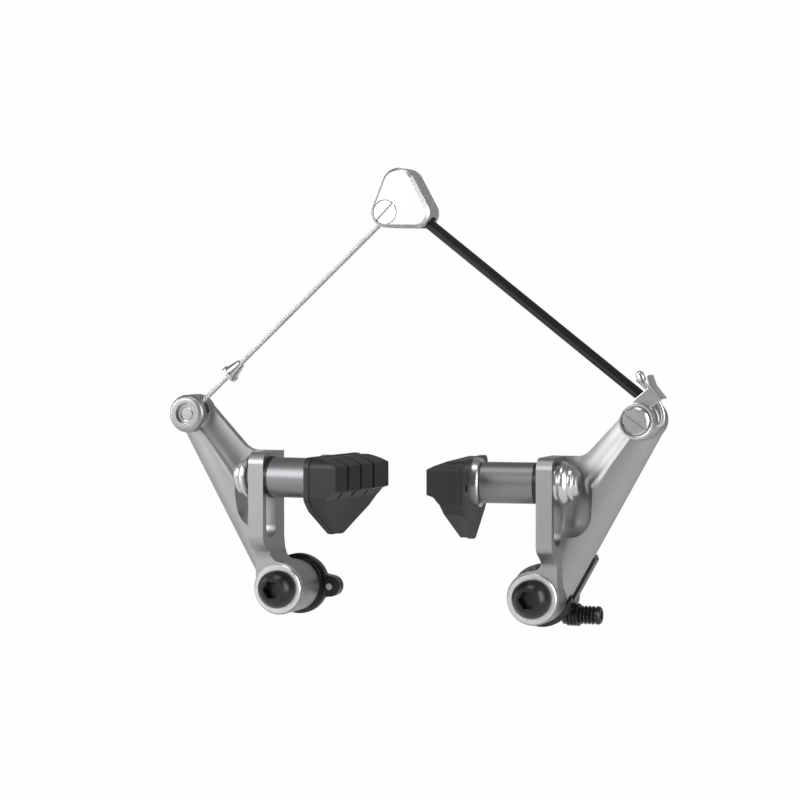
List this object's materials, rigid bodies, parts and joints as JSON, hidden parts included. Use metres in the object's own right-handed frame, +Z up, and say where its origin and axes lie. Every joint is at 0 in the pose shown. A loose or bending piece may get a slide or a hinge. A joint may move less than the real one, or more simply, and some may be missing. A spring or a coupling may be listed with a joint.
{
  "type": "cantilever brake",
  "caption": "Centre-pull cantilever rim brake: two pivoting arms with sliding pads on ball washers, linked over a triangular unit by a wire and a hose.",
  "frame": {"origin": "midway between the two frame studs, on the mounting plane where the pivot bushes rest", "axes": "+Z up towards the link unit, +Y backwards along the studs into the frame, +X from the left arm to the right arm seen from the front"},
  "size_m": [0.1573, 0.0445, 0.1355],
  "materials": {
    "arm_aluminium": "satin bead-blasted",
    "bolt_black": "black oxide, semi-gloss",
    "washer_bright": "bright turned",
    "bush_steel": "plated",
    "spring_steel": "bright wire",
    "black_plastic": "glossy black moulding",
    "screw_black": "glossy black steel",
    "washer_silver": "bright plated steel",
    "inner_washer_black": "black",
    "tube_grey": "matte grey",
    "pad_rubber": "matte-satin black rubber",
    "pad_backing": "dark grey moulding",
    "unit_aluminium": "satin with polished bevel",
    "bright_steel": "bright plated steel",
    "wire_steel": "stranded stainless wire",
    "hose_black": "smooth black plastic"
  },
  "bodies": {
    "frame_side": {"left_mounting_bolt": "bolt_black", "right_mounting_bolt": "bolt_black", "left_pivot_sleeve": "bush_steel", "right_pivot_sleeve": "bush_steel", "left_front_washer": "washer_bright", "right_front_washer": "washer_bright", "left_spring_cover": "black_plastic", "left_spring_pin": "spring_steel", "left_return_spring": "spring_steel", "right_spring_plate": "black_plastic", "right_return_spring": "spring_steel"},
    "left_arm": {"left_arm": "arm_aluminium"},
    "right_arm": {"right_arm": "arm_aluminium", "right_spring_housing": "black_plastic"},
    "tension_screw": {"spring_adjusting_screw": "screw_black"},
    "link_wire": {"link_wire": "wire_steel", "wire_anchor_pin": "bright_steel", "wire_cone_ferrule": "bright_steel", "wire_upper_nipple": "bright_steel"},
    "link_unit": {"button_front_shell": "unit_aluminium", "button_rear_shell": "unit_aluminium", "button_screw": "bright_steel"},
    "link_hose": {"link_hose": "hose_black", "hose_end_fitting": "bright_steel"},
    "cable_anchor": {"anchor_bolt": "bright_steel", "anchor_nut": "bright_steel", "anchor_clip": "bright_steel", "cable_tail": "wire_steel"},
    "left_carriage": {"left_outer_dome_washer": "washer_silver", "left_inner_dome_washer": "inner_washer_black"},
    "left_clamp": {"left_cup_washer": "washer_silver", "left_pad_nut": "washer_silver", "left_spacer_tube": "tube_grey"},
    "left_pad": {"left_pad_band": "washer_silver", "left_pad_post": "washer_silver", "left_pad_backing": "pad_backing", "left_pad_rubber": "pad_rubber"},
    "right_carriage": {"right_outer_dome_washer": "washer_silver", "right_inner_dome_washer": "inner_washer_black"},
    "right_clamp": {"right_cup_washer": "washer_silver", "right_pad_nut": "washer_silver", "right_spacer_tube": "tube_grey"},
    "right_pad": {"right_pad_band": "washer_silver", "right_pad_post": "washer_silver", "right_pad_backing": "pad_backing", "right_pad_rubber": "pad_rubber"}
  },
  "joints": [
    {"name": "left_arm_pivot", "type": "hinge", "parent": "frame_side", "child": "left_arm", "pos_m": [-0.04, 0, 0], "axis": [0, 1, 0], "range_deg": [-3, 6.5], "stiffness_Nm_per_rad": 2},
    {"name": "right_arm_pivot", "type": "hinge", "parent": "frame_side", "child": "right_arm", "pos_m": [0.04, 0, 0], "axis": [0, 1, 0], "range_deg": [-6.51, 3.01], "stiffness_Nm_per_rad": 2},
    {"name": "wire_anchor_pivot", "type": "hinge", "parent": "left_arm", "child": "link_wire", "pos_m": [-0.0715, -0.0145, 0.0522], "axis": [0, 1, 0], "range_deg": [-12.09, 5.59]},
    {"name": "link_unit_pivot", "type": "hinge", "parent": "link_wire", "child": "link_unit", "pos_m": [-0.0045, -0.018, 0.1126], "axis": [0, 1, 0], "range_deg": [-2.59, 5.6]},
    {"name": "hose_pivot", "type": "hinge", "parent": "link_unit", "child": "link_hose", "pos_m": [0.0049, -0.0188, 0.1113], "axis": [0, 1, 0], "range_deg": [-2.6, 5.62]},
    {"name": "cable_anchor_pivot", "type": "hinge", "parent": "right_arm", "child": "cable_anchor", "pos_m": [0.0715, -0.0195, 0.0522], "axis": [0, 1, 0], "range_deg": [-5.62, 12.15]},
    {"name": "tension_screw_turn", "type": "hinge", "parent": "right_arm", "child": "tension_screw", "pos_m": [0.0535, -0.0047, -0.006], "axis": [1, 0, 0], "range_deg": [-720, 720]},
    {"name": "left_pad_height", "type": "slide", "parent": "left_arm", "child": "left_carriage", "axis": [0, 0, 1], "range_m": [-0.01, 0.0013]},
    {"name": "left_pad_toe", "type": "hinge", "parent": "left_carriage", "child": "left_clamp", "pos_m": [-0.045, -0.0198, 0.03365], "axis": [0, 0, 1], "range_deg": [-3, 12]},
    {"name": "left_pad_turn", "type": "hinge", "parent": "left_clamp", "child": "left_pad", "pos_m": [-0.045, -0.0198, 0.03365], "axis": [0.9945, -0.1045, 0], "continuous": true},
    {"name": "right_pad_height", "type": "slide", "parent": "right_arm", "child": "right_carriage", "axis": [0, 0, 1], "range_m": [-0.01, 0.0013]},
    {"name": "right_pad_toe", "type": "hinge", "parent": "right_carriage", "child": "right_clamp", "pos_m": [0.045, -0.0198, 0.03365], "axis": [0, 0, 1], "range_deg": [-12, 3]},
    {"name": "right_pad_turn", "type": "hinge", "parent": "right_clamp", "child": "right_pad", "pos_m": [0.045, -0.0198, 0.03365], "axis": [-0.9945, -0.1045, 0], "continuous": true}
  ],
  "couplings": [
    {"joint": "right_arm_pivot", "follows": "left_arm_pivot", "ratio": -1},
    {"joint": "wire_anchor_pivot", "follows": "left_arm_pivot", "ratio": -1.8591},
    {"joint": "link_unit_pivot", "follows": "left_arm_pivot", "ratio": 0.8596},
    {"joint": "hose_pivot", "follows": "left_arm_pivot", "ratio": 0.8634},
    {"joint": "cable_anchor_pivot", "follows": "left_arm_pivot", "ratio": 1.8683}
  ]
}
